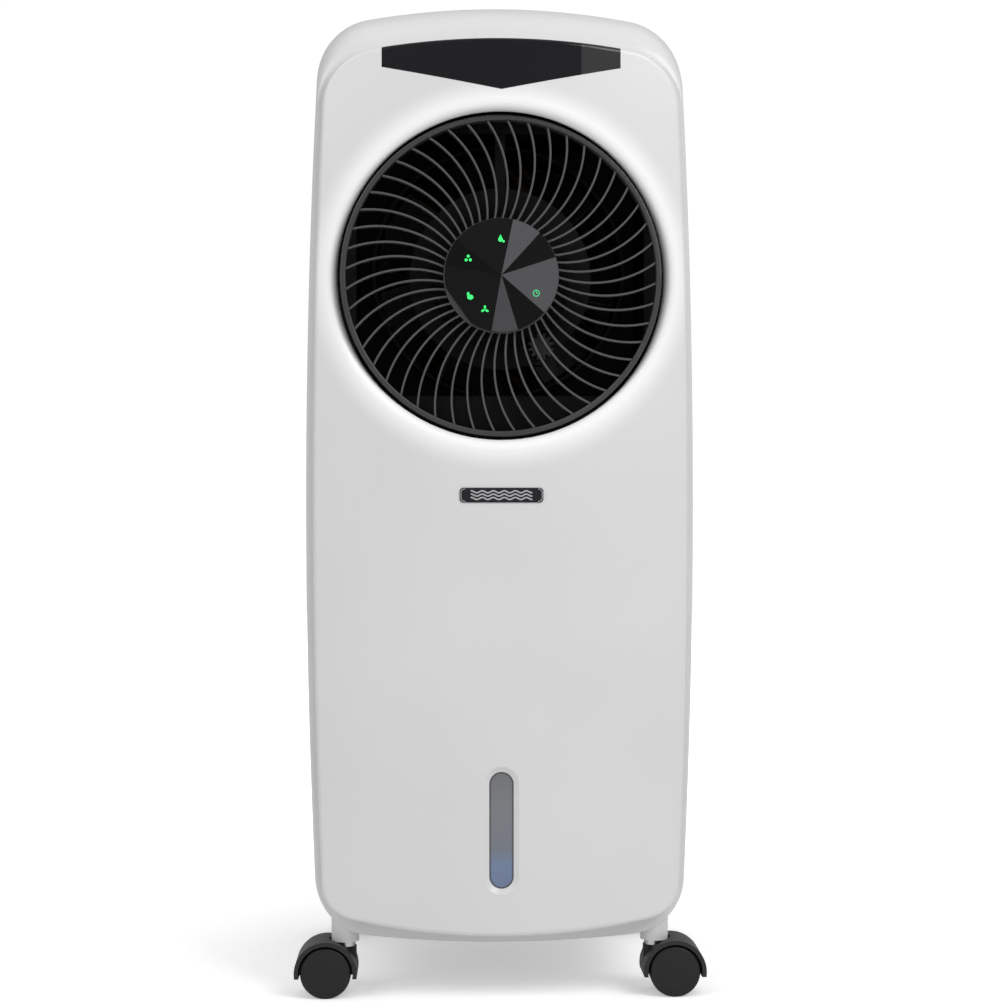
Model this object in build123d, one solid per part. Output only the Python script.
"""Evaporative air cooler: a tall white cabinet on four casters, with a turning spiral air outlet.

The cabinet stands on +Z with its front towards -Y and its right side, seen from the front, towards +X.
The origin is on the floor, under the middle of the cabinet.
"""

from math import acos, cos, pi, radians, sin, sqrt, tan
import os

from build123d import *

os.makedirs("parts", exist_ok=True)

# ---------------------------------------------------------------- driving dimensions, mm

# Cabinet, as a whole
casing_half_width = 156.8      # at the belt, where the bowed sides are widest
belt_height = 395.0            # height of that widest place
side_radius = 6500.0           # bow of the sides, in elevation
casing_top = 800.0
casing_bottom = 43.0
casing_front = -130.0          # front rim of the casing, behind the panel
casing_rear = 154.0
wall = 2.5
seam_height = 134.0            # where the casing stands on the base tub
crown_radius = 580.0           # bow of the top, seen from the front
sill_radius = 950.0            # bow of the underside
top_corner = 50.0
bottom_corner = 45.0
rear_round = 40.0              # rounding of the whole rear edge
shoulder_depth = 114.0         # how far back the top has reached its full height
shoulder_rise = 45.0
shoulder_steps = 8             # sections lofted along the shoulder
rim_inset = 5.0                # how much narrower the casing is at its front rim
rim_flange = 12.0              # width of the casing's front flange, inside the panel's edge

# Front panel
panel_front = -160.0
panel_reveal = 8.8             # panel edge inside the casing's side
panel_drop = 47.0              # panel top below the casing top
panel_lift = 9.5               # panel bottom above the casing bottom
panel_wall = 3.0
panel_bulge = 20.3             # how far the panel's middle stands in front of its sides
panel_edge = 4.0               # rounding of its front edge
panel_crown = 730.0
panel_sill = 650.0
panel_corner = 45.0
panel_low_corner = 28.0

# Air outlet, in the panel
outlet_drop = 184.7            # outlet centre below the panel top
outlet_radius = 128.7
outlet_round = 8.0             # soft edge round the outlet
collar_wall = 11.0
collar_depth = 12.0

# Display, nameplate and water window, in the panel
display_half_width = 93.3
display_end_drop = 22.3        # end of the lower edge, below the panel top
display_tip_drop = 40.5
lens_thickness = 1.9
glue_gap = 0.15
plate_width, plate_height, plate_thickness = 65.0, 11.4, 0.8
plate_drop = 171.8             # plate centre below the outlet centre
window_width, window_height = 19.0, 91.0
window_lift = 92.4             # window centre above the casing bottom
window_rim, window_rim_depth = 4.5, 2.4
window_gap = 0.2
window_flange = 4.0
window_lens_thickness = 2.0

# Vane wheel: a spiral grille that turns slowly round the control hub
ring_outer, ring_inner = 126.0, 121.7
wheel_front, wheel_back = -150.0, -138.0
rib_count = 48
rib_width = 1.5
rib_depth = 8.0
rib_turns = ((44.5, -1.0), (75.7, -3.9), (121.7, 5.0))    # radius and angle along one rib
hub_disc_radius = 44.4
hub_disc_front, hub_disc_back = -157.0, -150.5
carrier_radius = 41.0
carrier_wall = 2.5
running_gap = 0.05
gear_module, gear_teeth, pinion_teeth = 1.5, 72, 12
gear_front, gear_back = -134.0, -126.0
gear_addendum, pinion_addendum = 1.1, 1.5
tooth_clearance = 0.375
tooth_thinning = 0.15
pressure_angle = 20.0
pinion_angle = -59.5
pinion_shaft_radius = 2.0
plate_radius = 72.0            # round plate behind the gear
carrier_plate_front, carrier_plate_back = -122.0, -119.0
strut_width, strut_depth = 8.0, 10.0
vane_motor_radius, vane_motor_length = 14.0, 20.0
facet_angles = (-100.0, -73.0, -41.2, 18.4, 47.6, 78.0, 142.0, 171.0)
facet_heights = (0.4, 2.4, 0.4, 2.4, 0.4, 2.4, 0.8, 1.8)
facet_hub_height = 1.6
led_angles = (91.0, 154.0, 214.0, 244.0, -28.0)
led_inset = 12.0               # lights inside the hub carrier's edge
led_radius, led_height = 2.5, 2.5

# Air duct, fan and motor
duct_half_width, duct_half_height = 114.0, 104.0
duct_lift = 10.7               # duct centre above the outlet centre
duct_wall = 3.0
duct_back = 60.0
shroud_radius, shroud_wall = 100.5, 2.5
shroud_front, shroud_back = -72.0, -30.0
fan_radius, fan_hub_radius = 97.5, 36.0
fan_front, fan_back = -64.0, -34.0
fan_blades = 7
blade_thickness = 2.4
blade_stations = (             # share of the fan's radius, chord, pitch
    (0.34, 40.0, 48.0),
    (0.7, 56.0, 34.0),
    (1.03, 62.0, 26.0),
)
fan_shaft_radius = 4.0
fan_boss_radius = 9.0
motor_radius, motor_front, motor_back = 38.0, -20.0, 30.0
bracket_front, bracket_back = -4.0, 8.0
bracket_arm = 12.0

# Water side: deck, pad, spray tray, pump, hose and tank
deck_bottom, deck_thickness = 257.0, 3.0
pad_front, pad_back = 101.0, 145.0
pad_half_width = 99.5
pad_bottom = 312.0
pad_top_drop = 70.0            # pad top below the casing top
frame_wall = 4.5
grille_half_width = 112.0
grille_bottom = 295.0
grille_top_drop = 53.0
grille_corner = 20.0
seam_gap = 0.8
louvre_pitch, louvre_opening = 11.0, 6.0
louvre_columns = 3
louvre_border, louvre_bar = 14.0, 5.0
filter_thickness = 1.5
tray_gap, tray_height, tray_wall = 3.0, 14.0, 2.0
tank_half_width, tank_front = 104.0, -122.0
tank_bottom, tank_top = 59.0, 245.0
tank_wall = 2.5
door_half_width, door_bottom, door_top = 111.0, 55.0, 253.0
door_corner = 8.0
grip_half_width, grip_bottom, grip_top, grip_depth = 45.0, 195.0, 227.0, 18.0
plug_x, plug_z, plug_radius = -70.0, 95.0, 8.0
pump_x, pump_y = 70.0, 112.0
pump_radius, pump_bottom, pump_top = 17.0, 79.0, 113.0
hose_radius, hose_bore = 5.0, 3.5
hose_x, hose_low = 125.0, 283.0
hose_bend = 18.0

# Controls box, catch, cord gland and screws
box_half_width, box_front, box_back, box_height = 60.0, -90.0, 20.0, 40.0
box_wall = 2.0
board_thickness = 1.6
strip_height = 274.0           # middle of the rear strip between tank door and grille
catch_reach, catch_width = 26.0, 10.0
catch_knob_radius, catch_shaft_radius = 9.0, 3.0
gland_x, gland_bore, gland_radius, gland_length = 80.0, 3.7, 7.0, 16.0
screw_x, screw_head, screw_shank = 100.0, 4.0, 1.6

# Casters
post_x_inset, post_y = 33.8, 118.0
post_radius, post_bottom, post_height = 11.0, 43.0, 38.0
stem_radius, stem_top = 4.0, 67.0
wheel_radius, wheel_width, wheel_gap = 20.0, 15.0, 5.0
caster_trail = 15.0
hood_radius, hood_clearance = 24.8, 1.5
hood_half_width, web_half_width = 21.0, 4.0
axle_radius = 3.0
wheel_cap = 2.5                # closed outer face of a wheel, over the axle's end

# ---------------------------------------------------------------- sizes that follow

panel_half_width = casing_half_width - panel_reveal
panel_bow = (panel_half_width**2 + panel_bulge**2) / (2 * panel_bulge)     # plan radius of the panel's face
panel_top = casing_top - panel_drop
panel_bottom = casing_bottom + panel_lift
outlet_z = panel_top - outlet_drop
duct_z = outlet_z + duct_lift
pad_top = casing_top - pad_top_drop
grille_top = casing_top - grille_top_drop
shoulder_back = casing_front + shoulder_depth
rear_split = casing_rear - rear_round      # where the casing's sides meet the rear shell
gear_radius = gear_module * gear_teeth / 2
pinion_radius = gear_module * pinion_teeth / 2
pinion_reach = gear_radius + pinion_radius
pinion_x = pinion_reach * cos(radians(pinion_angle))
pinion_z = outlet_z + pinion_reach * sin(radians(pinion_angle))
post_x = casing_half_width - post_x_inset
catch_back = plate_thickness - panel_front     # as far behind as the nameplate stands in front
far = 2 * (casing_top + casing_half_width)     # past the whole cabinet, for half-space cuts


# ---------------------------------------------------------------- drawing helpers

def front_plane(y):
    """A plane seen from the front: its x is +X and its y is +Z."""
    return Plane(origin=(0, y, 0), x_dir=(1, 0, 0), z_dir=(0, -1, 0))


def prism(sketch, front, back):
    """A sketch drawn as seen from the front, made solid between two depths."""
    return extrude(front_plane(back) * sketch, back - front, dir=(0, -1, 0))


def rod(radius, front, back, x=0.0, z=0.0):
    return prism(Pos(x, z) * Circle(radius), front, back)


def pipe(outer, inner, front, back, x=0.0, z=0.0):
    return prism(Pos(x, z) * (Circle(outer) - Circle(inner)), front, back)


def upright(radius, bottom, top, x, y):
    return Pos(x, y, (bottom + top) / 2) * Cylinder(radius, top - bottom)


def block(x0, x1, y0, y1, z0, z1):
    return Pos((x0 + x1) / 2, (y0 + y1) / 2, (z0 + z1) / 2) * Box(x1 - x0, y1 - y0, z1 - z0)


def window(half_width, bottom, top, corner):
    """A rounded rectangle seen from the front, centred on the middle plane."""
    return Pos(0, (bottom + top) / 2) * RectangleRounded(2 * half_width, top - bottom, corner)


def save(name, *solids):
    shape = solids[0] if len(solids) == 1 else Compound(children=list(solids))
    export_step(shape, f"parts/{name}.step")


# ---------------------------------------------------------------- cabinet shape

def outline(half, top, crown, corner, bottom, sill, low_corner):
    """Front elevation: bowed sides, crowned top, bowed underside and rounded corners."""

    def side(z):
        return half - side_radius + sqrt(side_radius**2 - (z - belt_height) ** 2)

    def crown_z(x):
        return top - crown + sqrt(crown**2 - x**2)

    def sill_z(x):
        return bottom + sill - sqrt(sill**2 - x**2)

    high_x = low_x = half
    for _ in range(6):
        high_x = side(crown_z(high_x))
        low_x = side(sill_z(low_x))
    high_z, low_z = crown_z(high_x), sill_z(low_x)
    edges = [
        ThreePointArc((low_x, low_z), (half, belt_height), (high_x, high_z)),
        ThreePointArc((high_x, high_z), (0, top), (-high_x, high_z)),
        ThreePointArc((-high_x, high_z), (-half, belt_height), (-low_x, low_z)),
        ThreePointArc((-low_x, low_z), (0, bottom), (low_x, low_z)),
    ]
    face = make_face(edges)
    face = fillet(face.vertices().group_by(Axis.Y)[-1], corner)
    return fillet(face.vertices().group_by(Axis.Y)[0], low_corner)


def cabinet_section(turn, inset):
    """The cabinet's outline along its quarter-ellipse shoulder: 0 at the rim, 90 at full height."""
    rise = sin(radians(turn))
    narrowing = rim_inset * (1 - rise)
    drop = shoulder_rise * (1 - rise)
    crown = panel_crown + (crown_radius - panel_crown) * rise
    corner = panel_corner + (top_corner - panel_corner) * rise
    return outline(
        casing_half_width - narrowing - inset,
        casing_top - drop - inset,
        crown - inset,
        corner - inset,
        casing_bottom + inset,
        sill_radius - inset,
        bottom_corner - inset,
    )


def cabinet(inset):
    """The solid inside the cabinet's skin, offset inwards by inset: a lofted nose and a straight trunk."""
    reach = shoulder_depth - inset
    turns = [90 * step / shoulder_steps for step in range(shoulder_steps + 1)]
    depths = [shoulder_back - reach * cos(radians(turn)) for turn in turns]
    nose = loft([front_plane(y) * cabinet_section(turn, inset) for y, turn in zip(depths, turns)])
    trunk = prism(cabinet_section(90, inset), shoulder_back, casing_rear - inset)
    rear_loop = trunk.faces().sort_by(Axis.Y)[-1].edges()
    trunk = fillet(rear_loop, rear_round - inset)
    return nose + trunk


outer_body = cabinet(0)
skin = outer_body - cabinet(wall)
inside = cabinet(wall + glue_gap)


def panel_outline(inset):
    return outline(
        panel_half_width - inset,
        panel_top - inset,
        panel_crown - inset,
        panel_corner - inset,
        panel_bottom + inset,
        panel_sill - inset,
        panel_low_corner - inset,
    )


def bow(inset):
    """Everything behind the bowed face of the panel, offset back by inset."""
    radius = panel_bow - inset
    return Pos(0, panel_front + panel_bow, casing_top / 2) * Cylinder(radius, casing_top)


panel_hole = prism(panel_outline(rim_flange), casing_front - wall, casing_front + 4 * wall)
door_shape = window(door_half_width, door_bottom, door_top, door_corner)
door_hole = prism(door_shape, rear_split - wall, casing_rear + wall)
grille_shape = window(grille_half_width, grille_bottom, grille_top, grille_corner)
grille_hole = prism(grille_shape, pad_back - wall, casing_rear + wall)
caster_places = {
    f"caster_{end}_{side_name}": (side * post_x, row * post_y, turns[side])
    for end, row, turns in (("front", -1, {-1: 180, 1: 0}), ("rear", 1, {-1: 90, 1: 90}))
    for side_name, side in (("left", -1), ("right", 1))
}


# ---------------------------------------------------------------- casing and base

def sill_at(x):
    return casing_bottom + sill_radius - sqrt(sill_radius**2 - x**2)


upper_skin = skin - block(-far, far, -far, far, -far, seam_height)


def casing_side(side):
    """One side of the cabinet with its half of the top and of the front flange."""
    x0, x1 = sorted((0, side * far))
    return (upper_skin & block(x0, x1, -far, rear_split, 0, far)) - panel_hole


def rear_shell():
    """Rear wall and rounded rear edge in one moulding, with the openings for tank and pad."""
    shell = upper_skin & block(-far, far, rear_split, far, 0, far)
    shell -= door_hole + grille_hole
    shell -= rod(catch_shaft_radius + running_gap, 0, far, 0, strip_height)
    shell -= rod(gland_radius, 0, far, gland_x, strip_height)
    for x in (-screw_x, screw_x):
        shell -= rod(screw_shank, 0, far, x, strip_height)
    return shell


def base_tub():
    """The lower skin with the tank's rails and the four caster posts."""
    tub = skin & block(-far, far, -far, far, 0, seam_height)
    tub -= panel_hole + door_hole
    rail_x, rail_width = 0.7 * tank_half_width, 5.0
    rail_start, rail_end = tank_front + 22, casing_rear - rear_round - wall
    for side in (-1, 1):
        x0, x1 = sorted((side * rail_x, side * (rail_x + rail_width)))
        tub += block(x0, x1, rail_start, rail_end, sill_at(rail_x) + wall / 2, tank_bottom - seam_gap / 2)
    for x, y, _ in caster_places.values():
        tub += upright(post_radius, post_bottom, post_bottom + post_height, x, y)
        tub -= upright(stem_radius + running_gap, post_bottom - 1, stem_top + 2, x, y)
    return tub


# ---------------------------------------------------------------- front panel and what it carries

panel_block = prism(panel_outline(0), panel_front - panel_wall, casing_front) & bow(0)
panel_block = fillet(panel_block.faces().sort_by(Axis.Y)[0].edges(), panel_edge)
display_shape = make_face(
    Polyline(
        (-display_half_width, panel_top + wall),
        (display_half_width, panel_top + wall),
        (display_half_width, panel_top - display_end_drop),
        (0, panel_top - display_tip_drop),
        (-display_half_width, panel_top - display_end_drop),
        close=True,
    )
)
window_z = casing_bottom + window_lift


def water_slot(grow):
    return Pos(0, window_z) * SlotOverall(window_height + 2 * grow, window_width + 2 * grow, rotation=90)


def front_panel():
    """Bowed shell with returns, a soft-edged round outlet, a recess for the display and a water window."""
    panel = panel_block - rod(outlet_radius, panel_front - wall, casing_front + wall, 0, outlet_z)
    panel = fillet(panel.faces().sort_by(Axis.Y)[0].inner_wires()[0].edges(), outlet_round)
    hollow = prism(panel_outline(panel_wall), panel_front - wall, casing_front + wall) & bow(panel_wall)
    collar = rod(outlet_radius + collar_wall, panel_front - wall, casing_front + wall, 0, outlet_z)
    panel -= hollow - (collar - bow(collar_depth))
    recess = offset(display_shape, glue_gap)
    panel -= prism(recess, panel_front - wall, casing_front) - bow(lens_thickness + glue_gap)
    panel -= prism(water_slot(0), panel_front - wall, panel_front + 2 * panel_wall)
    rim = [
        front_plane(panel_front + window_rim_depth) * water_slot(0),
        front_plane(panel_front - window_rim_depth / 2) * water_slot(1.5 * window_rim),
    ]
    return panel - loft(rim)


def display_lens():
    """Gloss chevron that lies flush in the panel's recess."""
    slab = prism(display_shape, panel_front - wall, casing_front) & panel_block
    return slab - bow(lens_thickness)


def display_board():
    """Circuit board behind the display, with its row of light cells."""
    z = panel_top - display_end_drop + 2
    back = panel_front + 4 * panel_wall
    half = display_half_width - 14
    board = block(-half, half, back - board_thickness, back, z - 8, z + 8)
    for cell in range(-3, 4):
        x = cell * 20.0
        board += block(x - 7, x + 7, back - board_thickness - 3, back - board_thickness, z - 6, z + 6)
    return board


def nameplate():
    """Thin curved plate on the panel's face."""
    shape = Pos(0, outlet_z - plate_drop) * RectangleRounded(plate_width, plate_height, plate_height / 4)
    plate = prism(shape, panel_front - wall, panel_front + panel_wall)
    return (plate & bow(-plate_thickness)) - bow(0)


def window_lens():
    """Smoked lens of the water window, with a flange behind the panel."""
    seat = panel_front + panel_wall + window_gap
    pane = prism(water_slot(-window_gap), seat - 3 * window_gap, seat)
    return pane + prism(water_slot(window_flange), seat, seat + window_lens_thickness)


# ---------------------------------------------------------------- vane wheel and its drive

def polar(radius, degree):
    return radius * cos(radians(degree)), radius * sin(radians(degree))


def rib_arc():
    """Centre and radius of the circle that one rib follows, in the wheel's own plane."""
    (ax, ay), (bx, by), (cx, cy) = (polar(*turn) for turn in rib_turns)
    d = 2 * (ax * (by - cy) + bx * (cy - ay) + cx * (ay - by))
    ux = ((ax**2 + ay**2) * (by - cy) + (bx**2 + by**2) * (cy - ay) + (cx**2 + cy**2) * (ay - by)) / d
    uy = ((ax**2 + ay**2) * (cx - bx) + (bx**2 + by**2) * (ax - cx) + (cx**2 + cy**2) * (bx - ax)) / d
    return (ux, uy), sqrt((ax - ux) ** 2 + (ay - uy) ** 2)


def outer_ring():
    ring = pipe(ring_outer, ring_inner, wheel_front, wheel_back, 0, outlet_z)
    return fillet(ring.edges().group_by(Axis.Y)[0], 1.2)


def spiral_vanes():
    """Curved ribs between an inner sleeve and the outer ring."""
    (cx, cy), radius = rib_arc()
    points = [polar(*turn) for turn in rib_turns]

    def shifted(offset_by):
        scale = (radius + offset_by) / radius
        return [(cx + (x - cx) * scale, cy + (y - cy) * scale) for x, y in points]

    near, beyond = shifted(-rib_width / 2), shifted(rib_width / 2)
    rib = make_face(
        [
            ThreePointArc(*near),
            Line(near[-1], beyond[-1]),
            ThreePointArc(*reversed(beyond)),
            Line(beyond[0], near[0]),
        ]
    )
    rib_front = (wheel_front + wheel_back - rib_depth) / 2
    one = prism(Pos(0, outlet_z) * rib, rib_front, rib_front + rib_depth)
    turn_axis = Axis((0, 0, outlet_z), (0, 1, 0))
    ribs = [one.rotate(turn_axis, 360.0 * n / rib_count) for n in range(rib_count)]
    sleeve_outer = rib_turns[0][0] + rib_width / 2
    sleeve = pipe(sleeve_outer, carrier_radius + running_gap, wheel_front + 0.5, wheel_back, 0, outlet_z)
    wheel = sleeve + ribs
    return wheel & rod(ring_inner, wheel_front, wheel_back, 0, outlet_z)


def gear_face(teeth, addendum, mate_addendum):
    """Involute spur gear with its first tooth centred on the plane's x."""
    pitch = gear_module * teeth / 2
    base = pitch * cos(radians(pressure_angle))
    root = pitch - mate_addendum - tooth_clearance
    tip = pitch + addendum

    def involute(radius):
        roll = acos(min(1.0, base / radius))
        return tan(roll) - roll

    half_tooth = (pi * gear_module / 2 - tooth_thinning) / (2 * pitch)
    start = max(root, base)
    flank = [start + (tip - start) * step / 4 for step in range(5)]
    profile = [(radius, half_tooth + involute(pitch) - involute(radius)) for radius in flank]
    if root < base:
        profile.insert(0, (root, profile[0][1]))
    corners = []
    for tooth in range(teeth):
        middle = 2 * pi * tooth / teeth
        corners += [(r * cos(middle - a), r * sin(middle - a)) for r, a in profile]
        corners += [(r * cos(middle + a), r * sin(middle + a)) for r, a in reversed(profile)]
    return make_face(Polyline(*corners, close=True))


def hub_gear():
    """Toothed ring on the wheel's hub, with a sleeve that carries the ribs."""
    bore = carrier_radius + running_gap
    teeth = gear_face(gear_teeth, gear_addendum, pinion_addendum)
    face = Rot(0, 0, pinion_angle) * teeth - Circle(bore)
    sleeve_outer = rib_turns[0][0] + rib_width / 2
    sleeve = pipe(sleeve_outer, bore, wheel_back, gear_front, 0, outlet_z)
    return prism(Pos(0, outlet_z) * face, gear_front, gear_back) + sleeve


def drive_pinion():
    face = gear_face(pinion_teeth, pinion_addendum, gear_addendum)
    phase = pinion_angle + 180 + 180 / pinion_teeth
    gear = prism(Pos(pinion_x, pinion_z) * Rot(0, 0, phase) * face, gear_front, gear_back)
    end = carrier_plate_back + vane_motor_length / 2
    return gear + rod(pinion_shaft_radius, gear_back, end, pinion_x, pinion_z)


def hub_carrier():
    """Fixed cup inside the wheel, its round plate and the strut up to the duct."""
    cup = rod(carrier_radius, hub_disc_back, carrier_plate_front, 0, outlet_z)
    cup_floor = carrier_plate_front - carrier_wall
    cup -= rod(carrier_radius - carrier_wall, hub_disc_back, cup_floor, 0, outlet_z)
    plate = rod(plate_radius, carrier_plate_front, carrier_plate_back, 0, outlet_z)
    shoulder = rod(carrier_radius + 5, gear_back + 1, carrier_plate_front, 0, outlet_z)
    top = duct_z + duct_half_height
    strut = block(
        -strut_width / 2, strut_width / 2,
        carrier_plate_front, carrier_plate_front + strut_depth,
        outlet_z + plate_radius / 2, top,
    )
    hole_radius = pinion_shaft_radius + 1
    shaft_hole = rod(hole_radius, carrier_plate_front - 1, carrier_plate_back + 1, pinion_x, pinion_z)
    return cup + shoulder + plate + strut - shaft_hole


def vane_motor():
    front, back = carrier_plate_back, carrier_plate_back + vane_motor_length
    body = rod(vane_motor_radius, front, back, pinion_x, pinion_z)
    lugs = Pos(pinion_x, pinion_z) * Rot(0, 0, pinion_angle) * SlotOverall(3.2 * vane_motor_radius, 8)
    ears = prism(lugs, front, front + 2)
    bore_end = front + vane_motor_length / 2 + 1
    bore = rod(pinion_shaft_radius + running_gap, front - 1, bore_end, pinion_x, pinion_z)
    return body + ears - bore


def control_disc():
    """Faceted hub cover: eight flat facets that meet at the middle."""
    spread = 1.3

    def corner(angle, height):
        x, z = polar(spread * hub_disc_radius, angle)
        level = hub_disc_front + facet_hub_height + (height - facet_hub_height) * spread
        return Vector(x, level, outlet_z + z)

    middle = Vector(0, hub_disc_front + facet_hub_height, outlet_z)
    rim = [corner(angle, height) for angle, height in zip(facet_angles, facet_heights)]
    floor = [Vector(p.X, hub_disc_back, p.Z) for p in rim]
    faces = [Face(Wire.make_polygon(floor))]
    for n, here in enumerate(rim):
        m = (n + 1) % len(rim)
        faces.append(Face(Wire.make_polygon([middle, here, rim[m]])))
        faces.append(Face(Wire.make_polygon([here, floor[n], floor[m]])))
        faces.append(Face(Wire.make_polygon([here, floor[m], rim[m]])))
    faceted = Solid(Shell(faces))
    return faceted & rod(hub_disc_radius, hub_disc_front - wall, hub_disc_back, 0, outlet_z)


def control_board():
    top = hub_disc_back + led_height + board_thickness
    return rod(carrier_radius - carrier_wall - 0.5, top - board_thickness, top, 0, outlet_z)


def icon_leds():
    front = hub_disc_back
    places = [polar(carrier_radius - led_inset, angle) for angle in led_angles]
    return [rod(led_radius, front, front + led_height, x, outlet_z + z) for x, z in places]


# ---------------------------------------------------------------- duct and fan

def duct_frame():
    """Square air duct with its front flange."""
    flange_front = casing_front + wall
    reach = duct_half_width + duct_wall
    low, high = duct_z - duct_half_height, duct_z + duct_half_height
    flange_half = panel_half_width - rim_flange + 4
    flange = prism(
        window(flange_half, outlet_z - outlet_radius - 8, outlet_z + outlet_radius + 8, 20),
        flange_front, flange_front + duct_wall,
    )
    tube = block(-reach, reach, flange_front, duct_back, low - duct_wall, high + duct_wall)
    bore = block(-duct_half_width, duct_half_width, flange_front - 1, duct_back + 1, low, high)
    return flange + tube - bore


def fan_shroud():
    """Bulkhead across the duct, with the round shroud that the fan runs in."""
    low, high = duct_z - duct_half_height, duct_z + duct_half_height
    bulkhead = block(-duct_half_width, duct_half_width, shroud_back - duct_wall, shroud_back, low, high)
    shroud = pipe(shroud_radius + shroud_wall, shroud_radius, shroud_front, shroud_back, 0, duct_z)
    return bulkhead + shroud - rod(shroud_radius, shroud_front - 1, shroud_back + 1, 0, duct_z)


def fan_blade(angle):
    """One twisted blade, from inside the hub to the fan's edge."""
    sections = []
    for share, chord, pitch in blade_stations:
        chord_dir = (0, sin(radians(pitch)), cos(radians(pitch)))
        plane = Plane(origin=(share * fan_radius, 0, 0), x_dir=chord_dir, z_dir=(1, 0, 0))
        sections.append(plane * RectangleRounded(chord, blade_thickness, 0.45 * blade_thickness))
    blade = loft(sections) & rod(fan_radius, -fan_radius, fan_radius)
    return Pos(0, (fan_front + fan_back) / 2, duct_z) * (Rot(0, angle, 0) * blade)


def fan_impeller():
    hub = rod(fan_hub_radius, fan_front, fan_back, 0, duct_z)
    hub = fillet(hub.edges().group_by(Axis.Y)[0], 5)
    hub -= pipe(fan_hub_radius - 6, fan_boss_radius, fan_front + 4, fan_back, 0, duct_z)
    fan = hub + [fan_blade(360.0 * n / fan_blades) for n in range(fan_blades)]
    return fan - rod(fan_shaft_radius, fan_front - 1, fan_back + 1, 0, duct_z)


def fan_shaft():
    return rod(fan_shaft_radius, fan_front - 9, motor_front + 26, 0, duct_z)


def fan_nut():
    nut = Pos(0, duct_z) * (RegularPolygon(8, 6) - Circle(fan_shaft_radius))
    return prism(nut, fan_front - 7, fan_front)


def fan_motor():
    body = rod(motor_radius, motor_front, motor_back, 0, duct_z)
    body = fillet(body.edges(), 4)
    return body - rod(fan_shaft_radius + running_gap, motor_front - 1, motor_front + 28, 0, duct_z)


def motor_bracket():
    """Clamp ring round the motor, on four arms to the duct's walls."""
    arms = block(-duct_half_width, duct_half_width, bracket_front, bracket_back,
                 duct_z - bracket_arm / 2, duct_z + bracket_arm / 2)
    arms += block(-bracket_arm / 2, bracket_arm / 2, bracket_front, bracket_back,
                  duct_z - duct_half_height, duct_z + duct_half_height)
    ring = rod(motor_radius + 5, bracket_front, bracket_back, 0, duct_z)
    return arms + ring - rod(motor_radius, bracket_front - 1, bracket_back + 1, 0, duct_z)


# ---------------------------------------------------------------- rear grille and cooling pad

def rear_grille():
    """Louvred rear cover, shaped as the cabinet's skin."""
    half = grille_half_width - seam_gap
    edge = window(half, grille_bottom + seam_gap, grille_top - seam_gap, grille_corner)
    cover = skin & prism(edge, pad_back - wall, casing_rear + wall)
    rows = int((grille_top - grille_bottom - 2 * louvre_border) / louvre_pitch)
    width = (2 * (grille_half_width - louvre_border) - (louvre_columns - 1) * louvre_bar) / louvre_columns
    first_x = -grille_half_width + louvre_border + width / 2
    first_z = (grille_bottom + grille_top - (rows - 1) * louvre_pitch) / 2
    slots = Sketch() + [
        Pos(first_x + column * (width + louvre_bar), first_z + row * louvre_pitch)
        * SlotOverall(width, louvre_opening)
        for row in range(rows)
        for column in range(louvre_columns)
    ]
    return cover - prism(slots, pad_back, casing_rear + wall)


frame_half = pad_half_width + frame_wall
frame_low, frame_high = pad_bottom - frame_wall, pad_top + frame_wall
frame_back = pad_back + wall


def pad_frame():
    hollow = block(-pad_half_width, pad_half_width, pad_front, frame_back + 1, pad_bottom, pad_top)
    lip = 8.0
    front_hole = block(-pad_half_width + lip, pad_half_width - lip, pad_front - frame_wall, pad_front,
                       pad_bottom + lip, pad_top - lip)
    body = block(-frame_half, frame_half, pad_front - wall, frame_back, frame_low, frame_high)
    return body - hollow - front_hole


def cooling_pad():
    return block(-pad_half_width, pad_half_width, pad_front, pad_back, pad_bottom, pad_top)


def filter_mesh():
    """Dust filter between the pad and the louvres."""
    return block(-frame_half + wall, frame_half - wall, frame_back, frame_back + filter_thickness,
                 frame_low + wall, frame_high - wall)


def grille_clips():
    """Four posts that hold the pad frame to the rear cover."""
    clips = []
    for x in (-1, 1):
        for z in (frame_low + 30, frame_high - 45):
            x0, x1 = sorted((x * (frame_half - wall), x * frame_half))
            clips.append(block(x0, x1, frame_back, casing_rear - wall, z, z + 15))
    return clips


# ---------------------------------------------------------------- water side

def divider_deck():
    """Level floor above the tank, with drip slots under the pad."""
    deck = block(-far, far, -far, far, deck_bottom, deck_bottom + deck_thickness) & inside
    deck -= block(-far, far, -far, tank_front + 30, 0, far)
    for slot in range(-4, 5):
        x = slot * 22.0
        if abs(x - pump_x) > pump_radius + 3:
            deck -= block(x - 3, x + 3, pad_front + 8, pad_back - 8, 0, far)
    return deck - upright(hose_radius + 1, 0, far, pump_x, pump_y)


tray_bottom = frame_high + tray_gap
tray_half = frame_half
hose_top = tray_bottom + tray_height / 2


def spray_tray():
    """Trough above the pad that shares the water out through a row of holes."""
    tray = block(-tray_half, tray_half, pad_front - wall, pad_back, tray_bottom, tray_bottom + tray_height)
    tray -= block(-tray_half + tray_wall, tray_half - tray_wall,
                  pad_front - wall + tray_wall, pad_back - tray_wall,
                  tray_bottom + tray_wall, tray_bottom + tray_height + 1)
    middle = (pad_front + pad_back) / 2
    floor_top = tray_bottom + tray_wall
    holes = [upright(1.5, tray_bottom - 1, floor_top + 1, x * 16.0, middle) for x in range(-5, 6)]
    return tray - holes


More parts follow.
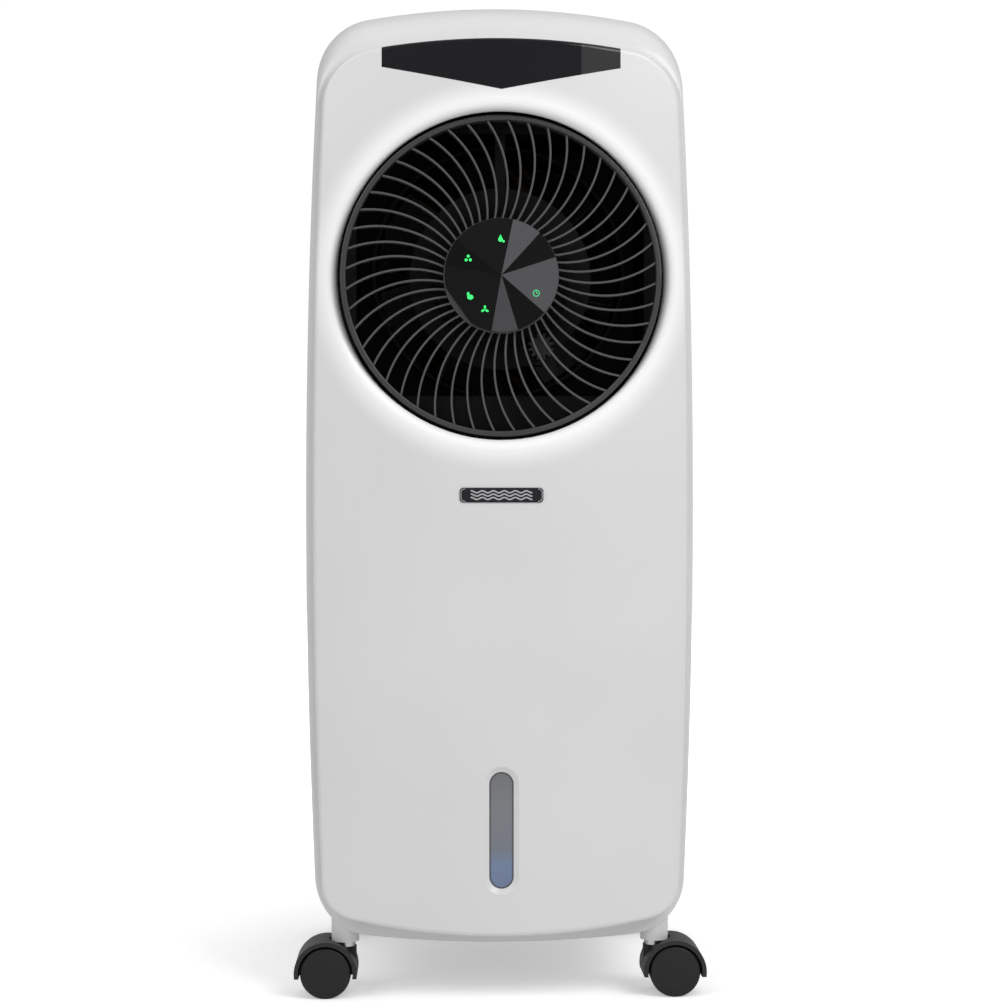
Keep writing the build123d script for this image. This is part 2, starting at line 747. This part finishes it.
def water_hose():
    """Riser from the pump, under the pad and up beside it to the tray."""
    path = FilletPolyline(
        (pump_x, pump_y, pump_top),
        (pump_x, pump_y, hose_low),
        (hose_x, pump_y, hose_low),
        (hose_x, pump_y, hose_top),
        (tray_half, pump_y, hose_top),
        radius=[hose_bend, hose_bend, min(hose_bend, hose_x - tray_half - 2)],
    )
    ring = Circle(hose_radius) - Circle(hose_bore)
    return sweep(Plane(origin=(pump_x, pump_y, pump_top), z_dir=(0, 0, 1)) * ring, path=path)


def pump():
    """Submersible pump on its hanger under the deck."""
    body = upright(pump_radius, pump_bottom, pump_top, pump_x, pump_y)
    side = pump_x - pump_radius
    hanger = block(side, side + 4, pump_y - 8, pump_y + 8, pump_bottom + 6, deck_bottom)
    return body + hanger


def pump_strainer():
    cup = upright(pump_radius - 1, pump_bottom - 12, pump_bottom, pump_x, pump_y)
    slot = Box(4 * pump_radius, 2.4, 6)
    slots = [Pos(pump_x, pump_y, pump_bottom - 7) * Rot(0, 0, 30 * n) * slot for n in range(6)]
    core = upright(pump_radius - 4, pump_bottom - 12, pump_bottom, pump_x, pump_y)
    return (cup - slots) + core


def water_tank():
    """Drawer tank: an open box whose rear wall carries the tank door in the cabinet's own skin."""
    box = block(-tank_half_width, tank_half_width, tank_front, far, tank_bottom, tank_top) & outer_body
    inner = cabinet(wall + 0.5)
    hollow = block(-tank_half_width + tank_wall, tank_half_width - tank_wall, tank_front + tank_wall, far,
                   tank_bottom + tank_wall, far) & inner
    door = window(door_half_width - seam_gap, door_bottom + seam_gap, door_top - seam_gap, door_corner)
    tank = (box - hollow) + (skin & prism(door, 0, casing_rear + wall))
    tank -= block(-grip_half_width, grip_half_width, casing_rear - grip_depth, far, grip_bottom, grip_top)
    return tank - rod(plug_radius, 0, far, plug_x, plug_z)


def tank_grip():
    """Finger pocket let into the tank door."""
    back = casing_rear
    cup = block(-grip_half_width, grip_half_width, back - grip_depth, back, grip_bottom, grip_top)
    hollow = block(-grip_half_width + 2, grip_half_width - 2, back - grip_depth + 2, back + 1,
                   grip_bottom + 2, grip_top - 2)
    lip = block(-grip_half_width + 2, grip_half_width - 2, back - 3, back, grip_top - 8, grip_top - 2)
    return (cup - hollow) + lip


def drain_plug():
    stopper = rod(plug_radius, casing_rear - 2 * wall, casing_rear + 1, plug_x, plug_z)
    head = rod(plug_radius + 3, casing_rear, casing_rear + 3, plug_x, plug_z)
    return stopper + head


def tank_catch():
    """Turn catch that can be swung down over the top edge of the tank door."""
    front = casing_rear + 0.6
    bar = Pos(catch_reach / 2, strip_height) * SlotOverall(catch_reach + catch_width, catch_width)
    arm = prism(bar, front, front + 2.4)
    knob = rod(catch_knob_radius, front, catch_back, 0, strip_height)
    knob -= block(-catch_knob_radius, catch_knob_radius, catch_back - 2.4, catch_back,
                  strip_height - catch_knob_radius, strip_height - 1.5)
    knob -= block(-catch_knob_radius, catch_knob_radius, catch_back - 2.4, catch_back,
                  strip_height + 1.5, strip_height + catch_knob_radius)
    shaft = rod(catch_shaft_radius, casing_rear - wall - 2.6, front, 0, strip_height)
    washer = rod(7, casing_rear - wall - 2.6, casing_rear - wall - 0.6, 0, strip_height)
    return arm + knob + shaft + washer


# ---------------------------------------------------------------- electrics and fasteners

box_floor = duct_z + duct_half_height + duct_wall


def board_cover():
    cover = block(-box_half_width, box_half_width, box_front, box_back, box_floor, box_floor + box_height)
    cover -= block(-box_half_width + box_wall, box_half_width - box_wall,
                   box_front + box_wall, box_back - box_wall,
                   box_floor - 1, box_floor + box_height - box_wall)
    return cover


def power_board():
    low = box_floor + 6
    half = box_half_width - 6
    board = block(-half, half, box_front + 6, box_back - 6, low, low + board_thickness)
    for x, y, size, tall in ((-30, -60, 18, 20), (20, -55, 24, 22), (-25, -15, 14, 16), (25, -20, 16, 12)):
        board += block(x - size / 2, x + size / 2, y - size / 2, y + size / 2, low, low + tall)
    for x in (-box_half_width + 10, box_half_width - 10):
        for y in (box_front + 10, box_back - 10):
            board += upright(3, box_floor, low, x, y)
    return board


def cord_gland():
    """Bush in the rear strip that the mains lead passes through."""
    end = casing_rear + 6
    bush = rod(gland_radius, end - gland_length, end, gland_x, strip_height)
    flange = rod(gland_radius + 3, casing_rear, casing_rear + 2, gland_x, strip_height)
    return bush + flange - rod(gland_bore, 0, far, gland_x, strip_height)


def casing_screws():
    screws = []
    for x in (-screw_x, screw_x):
        head = rod(screw_head, casing_rear, casing_rear + 2, x, strip_height)
        for half_x, half_z in ((0.6, 2.5), (2.5, 0.6)):
            head -= block(x - half_x, x + half_x, casing_rear + 1, casing_rear + 3,
                          strip_height - half_z, strip_height + half_z)
        screws.append(head + rod(screw_shank, casing_rear - 9, casing_rear, x, strip_height))
    return screws


# ---------------------------------------------------------------- casters

def turned(shape, x, y, turn):
    """Places a caster piece, drawn trailing towards +X, under the post at (x, y)."""
    return Pos(x, y, 0) * (Rot(0, 0, turn) * shape)


def caster_hood():
    """Fender over both wheels, the web between them and the boss for the stem."""
    lip = wheel_radius + hood_clearance
    fender = rod(hood_radius, -hood_half_width, hood_half_width, caster_trail, wheel_radius)
    for side in (-1, 1):
        near, away = sorted((side * web_half_width, side * (hood_half_width + 1)))
        fender -= rod(lip, near, away, caster_trail, wheel_radius)
    fender -= block(-far, far, -far, far, -far, 0.8 * wheel_radius)
    web = rod(0.4 * wheel_radius, -web_half_width, web_half_width, caster_trail, wheel_radius)
    boss_top = post_bottom - 4
    boss = upright(post_radius - 2, wheel_radius - 2, boss_top, 0, 0)
    boss &= block(-far, far, -web_half_width, web_half_width, 0, far)
    hood = fender + web + boss
    hood -= upright(post_radius + 2, boss_top, far, 0, 0)
    hood -= upright(stem_radius, wheel_radius + 8, far, 0, 0)
    return hood - rod(axle_radius, -far, far, caster_trail, wheel_radius)


def caster_stem():
    boss_top = post_bottom - 4
    stem = upright(stem_radius, wheel_radius + 8, stem_top, 0, 0)
    return stem + upright(post_radius - 3, boss_top, post_bottom - 0.4, 0, 0)


def caster_wheels():
    wheels = []
    for side in (-1, 1):
        near, away = sorted((side * wheel_gap, side * (wheel_gap + wheel_width)))
        wheel = rod(wheel_radius, near, away, caster_trail, wheel_radius)
        wheel = fillet(wheel.edges().filter_by(GeomType.CIRCLE), 2.0)
        bore_near, bore_away = sorted((0, side * (wheel_gap + wheel_width - wheel_cap)))
        bore = rod(axle_radius + running_gap, bore_near, bore_away, caster_trail, wheel_radius)
        wheels.append(wheel - bore)
    return wheels


def caster_axle():
    half = wheel_gap + wheel_width - wheel_cap - 0.5
    return rod(axle_radius, -half, half, caster_trail, wheel_radius)


# ---------------------------------------------------------------- writing the pieces

single = {
    "rear_shell": rear_shell, "base_tub": base_tub, "front_panel": front_panel,
    "window_lens": window_lens, "nameplate": nameplate, "display_lens": display_lens,
    "display_board": display_board, "duct_frame": duct_frame, "fan_shroud": fan_shroud,
    "hub_carrier": hub_carrier, "control_disc": control_disc, "control_board": control_board,
    "vane_motor": vane_motor, "fan_motor": fan_motor, "motor_bracket": motor_bracket,
    "divider_deck": divider_deck, "spray_tray": spray_tray, "water_hose": water_hose,
    "pump": pump, "pump_strainer": pump_strainer, "power_board": power_board,
    "board_cover": board_cover, "cord_gland": cord_gland, "outer_ring": outer_ring,
    "spiral_vanes": spiral_vanes, "hub_gear": hub_gear, "drive_pinion": drive_pinion,
    "fan_impeller": fan_impeller, "fan_shaft": fan_shaft, "fan_nut": fan_nut,
    "water_tank": water_tank, "tank_grip": tank_grip, "drain_plug": drain_plug,
    "tank_catch": tank_catch, "rear_grille": rear_grille, "pad_frame": pad_frame,
    "cooling_pad": cooling_pad, "filter_mesh": filter_mesh,
}
groups = {"icon_leds": icon_leds, "grille_clips": grille_clips, "casing_screws": casing_screws}

for name, make in single.items():
    save(name, make())
for name, make in groups.items():
    save(name, *make())
for side_name, side in (("left", -1), ("right", 1)):
    save(f"casing_{side_name}", casing_side(side))
for name, (x, y, turn) in caster_places.items():
    save(f"{name}_hood", turned(caster_hood(), x, y, turn))
    save(f"{name}_stem", turned(caster_stem(), x, y, turn))
    save(f"{name}_axle", turned(caster_axle(), x, y, turn))
    save(f"{name}_wheels", *(turned(wheel, x, y, turn) for wheel in caster_wheels()))
